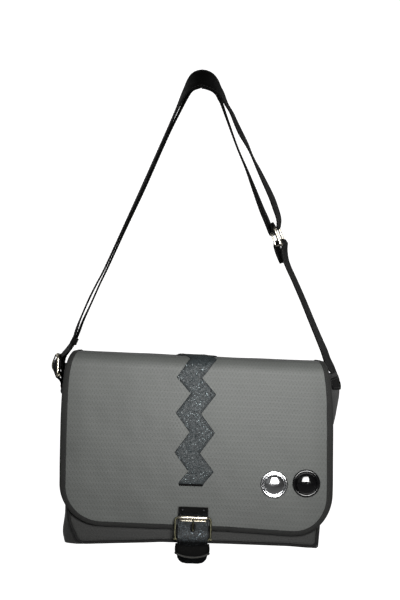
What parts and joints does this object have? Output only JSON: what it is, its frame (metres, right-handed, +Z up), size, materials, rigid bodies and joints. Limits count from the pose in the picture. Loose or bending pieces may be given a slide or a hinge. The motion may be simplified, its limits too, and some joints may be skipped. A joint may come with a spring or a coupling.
{
  "type": "miniature carry case",
  "caption": "Soft shoulder case with a full front flap, zigzag trim strip, buckled closure strap, doubled adjustable shoulder strap and foam trays for figures.",
  "frame": {"origin": "centre of the underside of the base", "axes": "+Z up, -Y out of the front face that carries the flap, +X towards the side with the sewn strap patch"},
  "size_m": [0.3762, 0.1181, 0.6482],
  "materials": {
    "shell_grey": "coated textile with a small dot emboss, semi-matt",
    "shell_dark": "coated textile, matt",
    "binding": "ribbed grosgrain edge tape",
    "edge_black": "rolled edge, semi-gloss",
    "glitter": "leatherette with fine dark glitter",
    "strap_black": "coated strap, edge stitched",
    "ribbon": "satin ribbon",
    "lining": "plain woven lining",
    "board": "stiffener board",
    "foam": "cut open-cell foam",
    "pale_gold": "polished pale gold plating",
    "bright_metal": "polished",
    "gloss_black": "high gloss enamel"
  },
  "bodies": {
    "bag": {"back_panel": "shell_dark", "front_panel": "shell_dark", "left_gusset": "shell_dark", "right_gusset": "shell_dark", "base_panel": "shell_dark", "base_board": "board", "lining": "lining", "front_piping": "edge_black", "back_piping": "edge_black", "flap_back_hem": "shell_grey", "strip_tail": "glitter", "foam_base": "foam", "foam_tray_lower": "foam", "foam_tray_upper": "foam", "tray_lift_ribbon": "ribbon", "side_tab": "strap_black", "strap_patch": "strap_black", "tab_rivets": "pale_gold", "magnet_socket": "bright_metal", "strap_end_left": "strap_black", "strap_end_right": "strap_black"},
    "flap_top": {"flap_top_panel": "shell_grey", "flap_top_binding": "binding", "strip_top_band": "glitter"},
    "flap_front": {"flap_front_panel": "shell_grey", "flap_front_binding": "binding", "zigzag_strip": "glitter", "strip_end_fold": "strap_black", "bright_stud": "bright_metal", "black_stud": "gloss_black", "stud_washers": "bright_metal", "closure_anchor": "glitter", "anchor_rivets": "bright_metal"},
    "closure": {"closure_tongue": "glitter", "closure_chape": "glitter", "magnet_cap": "bright_metal", "tongue_eyelets": "pale_gold"},
    "front_buckle": {"closure_buckle": "pale_gold"},
    "front_prong": {"closure_prong": "pale_gold"},
    "front_keeper": {"closure_keeper": "strap_black"},
    "side_buckle": {"side_buckle": "pale_gold"},
    "side_prong": {"side_prong": "pale_gold"},
    "side_keeper": {"side_keeper": "strap_black"},
    "strap": {"strap_outer_layer": "strap_black", "strap_inner_layer": "strap_black", "strap_lower": "strap_black"},
    "strap_loops": {"slide_loop": "pale_gold", "strap_ring": "pale_gold"}
  },
  "joints": [
    {"name": "flap_open", "type": "hinge", "parent": "bag", "child": "flap_top", "pos_m": [0, 0.05, 0.24], "axis": [-1, 0, 0], "range_deg": [0, 240], "deforming": ["strap_outer_layer", "strap_inner_layer", "strap_lower", "strap_end_left", "strap_end_right", "slide_loop", "strap_ring"]},
    {"name": "flap_fold", "type": "hinge", "parent": "flap_top", "child": "flap_front", "pos_m": [0, -0.0485, 0.243], "axis": [-1, 0, 0], "range_deg": [0, 115]},
    {"name": "closure_swing", "type": "hinge", "parent": "flap_front", "child": "closure", "pos_m": [0, -0.0565, 0.043], "axis": [-1, 0, 0], "range_deg": [0, 60]},
    {"name": "front_buckle_tilt", "type": "hinge", "parent": "closure", "child": "front_buckle", "pos_m": [0, -0.06, 0.008], "axis": [1, 0, 0], "range_deg": [0, 12]},
    {"name": "front_prong_lift", "type": "hinge", "parent": "front_buckle", "child": "front_prong", "pos_m": [0, -0.06, 0.008], "axis": [1, 0, 0], "range_deg": [0, 8]},
    {"name": "front_keeper_slide", "type": "slide", "parent": "closure", "child": "front_keeper", "axis": [0, 0, -1], "range_m": [-0.002, 0.004]},
    {"name": "side_buckle_tilt", "type": "hinge", "parent": "bag", "child": "side_buckle", "pos_m": [-0.18456, 0, 0.2175], "axis": [0, -1, 0], "range_deg": [0, 28]},
    {"name": "side_prong_lift", "type": "hinge", "parent": "side_buckle", "child": "side_prong", "pos_m": [-0.18456, 0, 0.2175], "axis": [0, -1, 0], "range_deg": [0, 40]},
    {"name": "side_keeper_slide", "type": "slide", "parent": "bag", "child": "side_keeper", "axis": [0.4305, 0, 0.9026], "range_m": [-0.003, 0.001]},
    {"name": "strap_swing", "type": "hinge", "parent": "bag", "child": "strap", "pos_m": [0, 0, 0.269], "axis": [1, 0, 0], "range_deg": [-35, 35], "stiffness_Nm_per_rad": 0.3},
    {"name": "loop_tilt", "type": "hinge", "parent": "strap", "child": "strap_loops", "pos_m": [0.10425, 0, 0.39907], "axis": [0, 1, 0], "range_deg": [-8, 8]}
  ],
  "couplings": [
    {"joint": "flap_fold", "follows": "flap_open", "ratio": 0.479}
  ]
}
